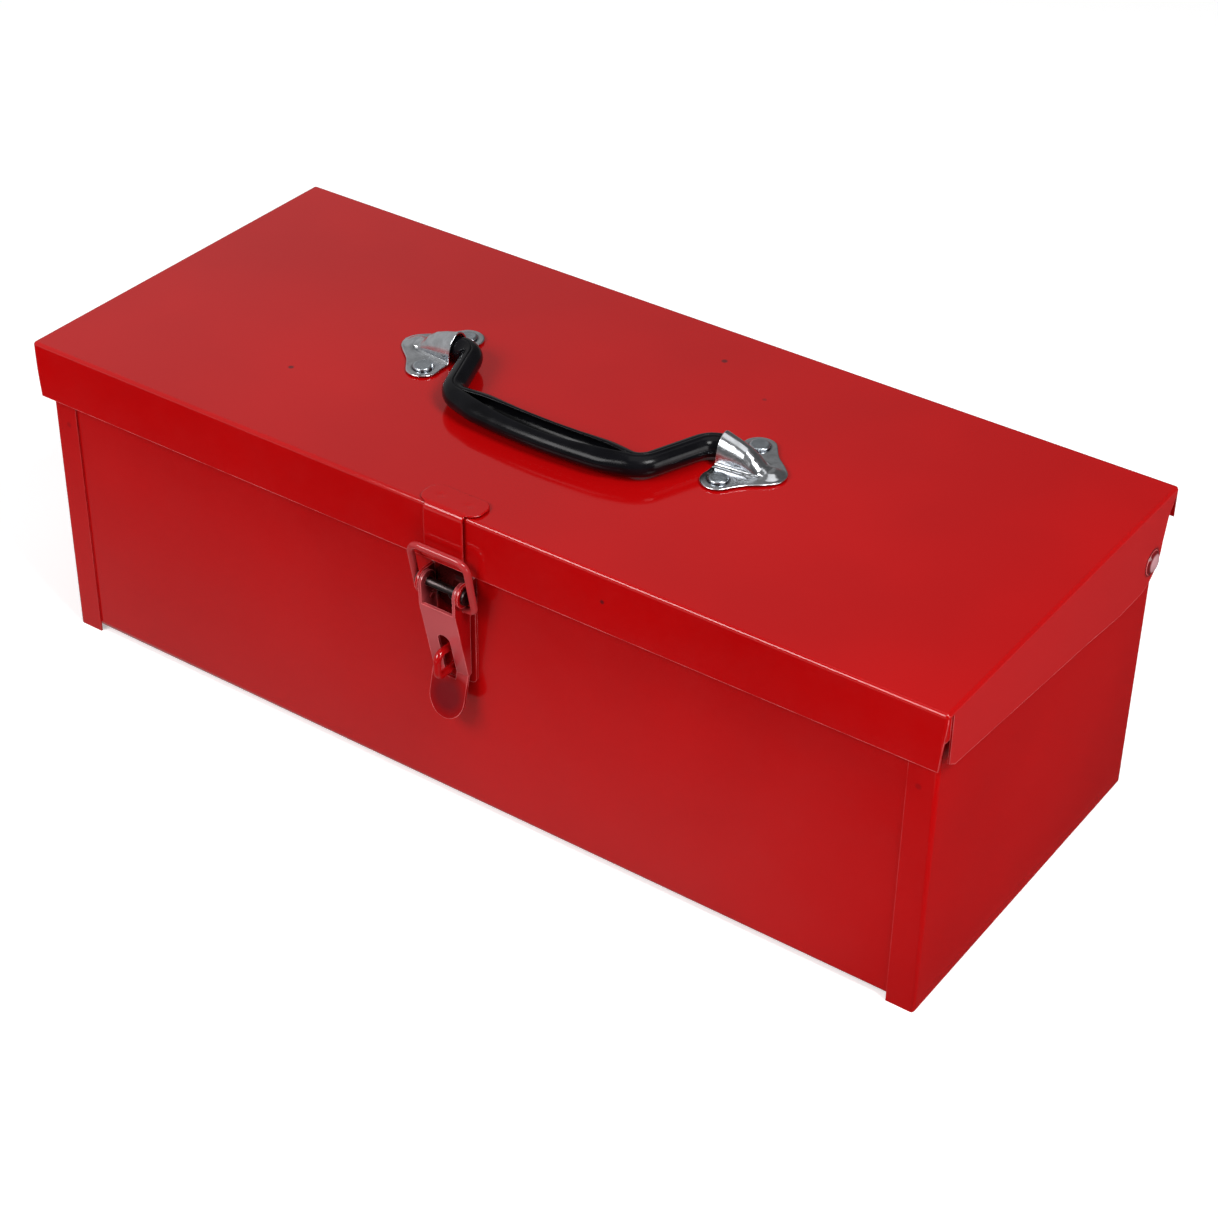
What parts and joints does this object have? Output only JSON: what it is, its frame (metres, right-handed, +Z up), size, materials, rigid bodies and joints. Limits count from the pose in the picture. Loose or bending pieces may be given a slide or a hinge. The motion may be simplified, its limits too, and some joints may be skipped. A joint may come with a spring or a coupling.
{
  "type": "metal lunch box",
  "caption": "Red enamelled steel lunch box with a lift-up lid on rivet pivots, a folding drop handle in two bright brackets and a draw latch with padlock staple.",
  "frame": {"origin": "centre of the bounding box in plan, on the surface that the box stands on", "axes": "+X along the length to the box's right as seen from its back, +Y towards the lid pivots at the back, +Z up; the latch is on the -Y side"},
  "size_m": [0.4098, 0.1773, 0.1464],
  "materials": {
    "body_enamel": "gloss",
    "lid_enamel": "gloss",
    "latch_enamel": "gloss",
    "hinge_rivet": "gloss",
    "hidden_zinc": "satin",
    "bracket_zinc": "bright",
    "bracket_rivet": "bright",
    "handle_black": "satin",
    "pin_steel": "satin"
  },
  "bodies": {
    "body": {"body_shell": "body_enamel", "end_panel_left": "body_enamel", "end_panel_right": "body_enamel", "hinge_rivet_left": "hinge_rivet", "hinge_rivet_right": "hinge_rivet", "hinge_spacer_left": "hidden_zinc", "hinge_spacer_right": "hidden_zinc", "hinge_burr_left": "hidden_zinc", "hinge_burr_right": "hidden_zinc", "latch_base": "latch_enamel", "latch_pin": "pin_steel", "padlock_staple": "latch_enamel", "latch_rivet_upper": "pin_steel", "latch_rivet_lower": "pin_steel"},
    "lid": {"lid_shell": "lid_enamel", "strike_plate": "latch_enamel", "handle_bracket_left": "bracket_zinc", "handle_bracket_right": "bracket_zinc", "handle_rivets_left": "bracket_rivet", "handle_rivets_right": "bracket_rivet", "handle_burrs_left": "hidden_zinc", "handle_burrs_right": "hidden_zinc"},
    "handle": {"carry_handle": "handle_black"},
    "lever": {"latch_lever": "latch_enamel"},
    "bail": {"latch_bail": "latch_enamel"}
  },
  "joints": [
    {"name": "lid_hinge", "type": "hinge", "parent": "body", "child": "lid", "pos_m": [0, 0.07285, 0.1096], "axis": [-1, 0, 0], "range_deg": [0, 93]},
    {"name": "handle_swing", "type": "hinge", "parent": "lid", "child": "handle", "pos_m": [0, 0.00615, 0.1401], "axis": [-1, 0, 0], "range_deg": [0, 180]},
    {"name": "latch_lever_swing", "type": "hinge", "parent": "body", "child": "lever", "pos_m": [0, -0.08225, 0.1023], "axis": [-1, 0, 0], "range_deg": [0, 120]},
    {"name": "bail_swing", "type": "hinge", "parent": "lever", "child": "bail", "pos_m": [0, -0.08066, 0.09542], "axis": [-1, 0, 0], "range_deg": [-156, 0]}
  ],
  "couplings": [
    {"joint": "bail_swing", "follows": "latch_lever_swing", "ratio": -1.3}
  ]
}
